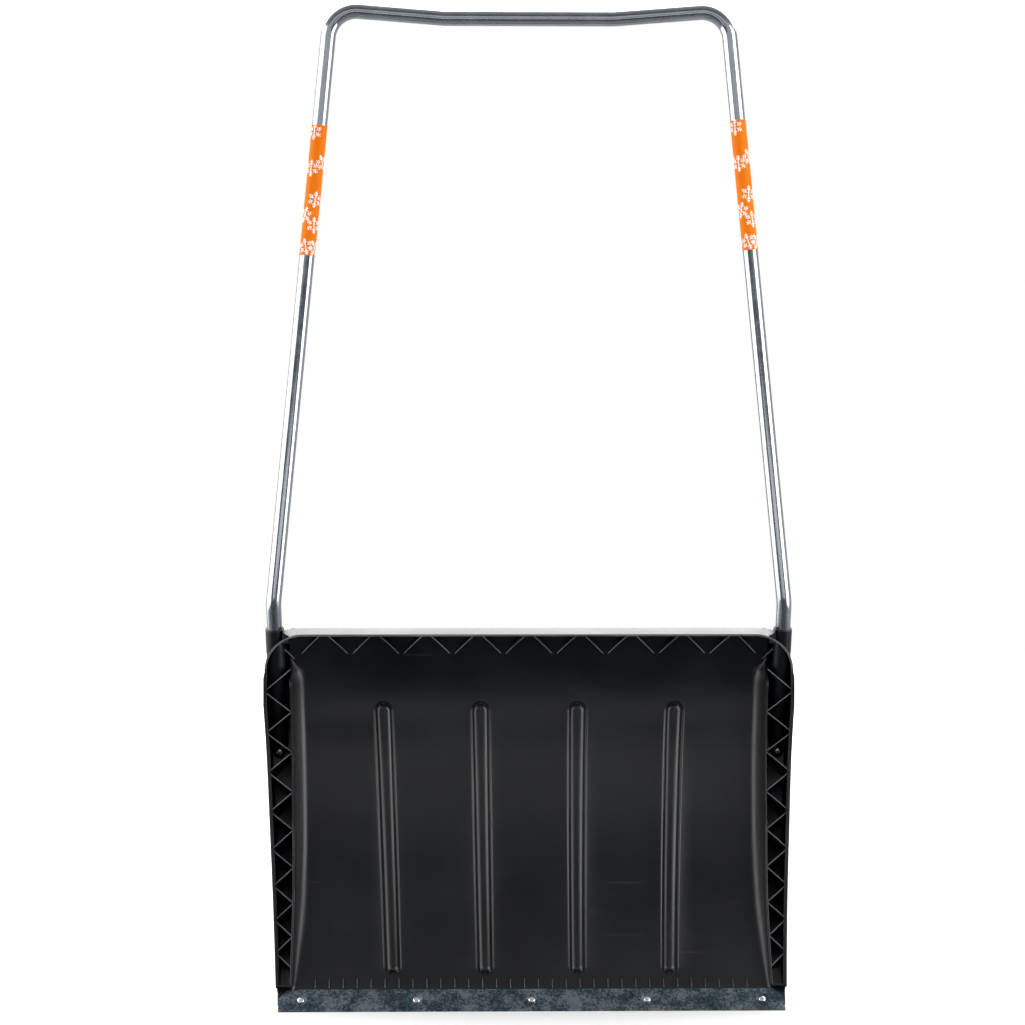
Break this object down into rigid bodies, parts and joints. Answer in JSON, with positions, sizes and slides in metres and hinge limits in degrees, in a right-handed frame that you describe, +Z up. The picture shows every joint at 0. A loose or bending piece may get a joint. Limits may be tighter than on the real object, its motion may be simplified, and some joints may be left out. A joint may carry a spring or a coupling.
{
  "type": "wheeled snow shovel",
  "caption": "Wide curved moulded snow scoop with ribbed rims, a riveted steel wear strip, a bent tube push handle and small carrying wheels behind it.",
  "frame": {"origin": "on the ground under the middle of the object's box, with the wear strip's lower edge at z = 0 and the tool upright", "axes": "+X across the scoop, to the right as seen from in front; -Y is the front, where the scoop's hollow faces; +Z up along the handle"},
  "size_m": [0.752, 0.3101, 1.3906],
  "materials": {
    "scoop_plastic": "satin moulded black",
    "galvanised_strip": "galvanised, mottled",
    "zinc_tube": "bright zinc plating",
    "rivet_steel": "bright",
    "band_print": "printed film, orange with white snowflakes",
    "bracket_steel": "zinc plated, dull",
    "axle_steel": "drawn",
    "tyre_rubber": "solid rubber",
    "wheel_plastic": "moulded black",
    "bush_plastic": "natural nylon"
  },
  "bodies": {
    "scoop_body": {"scoop": "scoop_plastic", "wear_strip": "galvanised_strip", "strip_rivet_1": "rivet_steel", "strip_rivet_2": "rivet_steel", "strip_rivet_3": "rivet_steel", "strip_rivet_4": "rivet_steel", "strip_rivet_5": "rivet_steel", "handle_tube": "zinc_tube", "handle_rivet_left": "rivet_steel", "handle_rivet_right": "rivet_steel", "snowflake_band_left": "band_print", "snowflake_band_right": "band_print", "axle_bracket_left": "bracket_steel", "axle_bracket_right": "bracket_steel", "bracket_screw_left_upper": "rivet_steel", "bracket_screw_left_lower": "rivet_steel", "bracket_screw_right_upper": "rivet_steel", "bracket_screw_right_lower": "rivet_steel", "axle": "axle_steel", "axle_washer_left_inner": "bracket_steel", "axle_washer_left_outer": "bracket_steel", "axle_washer_right_inner": "bracket_steel", "axle_washer_right_outer": "bracket_steel", "axle_cap_left": "bracket_steel", "axle_cap_right": "bracket_steel"},
    "left_wheel": {"wheel_left": "wheel_plastic", "tyre_left": "tyre_rubber", "wheel_bush_left": "bush_plastic"},
    "right_wheel": {"wheel_right": "wheel_plastic", "tyre_right": "tyre_rubber", "wheel_bush_right": "bush_plastic"}
  },
  "joints": [
    {"name": "left_wheel_spin", "type": "hinge", "parent": "scoop_body", "child": "left_wheel", "pos_m": [-0.3, 0.10508, 0.28256], "axis": [1, 0, 0], "continuous": true},
    {"name": "right_wheel_spin", "type": "hinge", "parent": "scoop_body", "child": "right_wheel", "pos_m": [0.3, 0.10508, 0.28256], "axis": [1, 0, 0], "continuous": true}
  ]
}
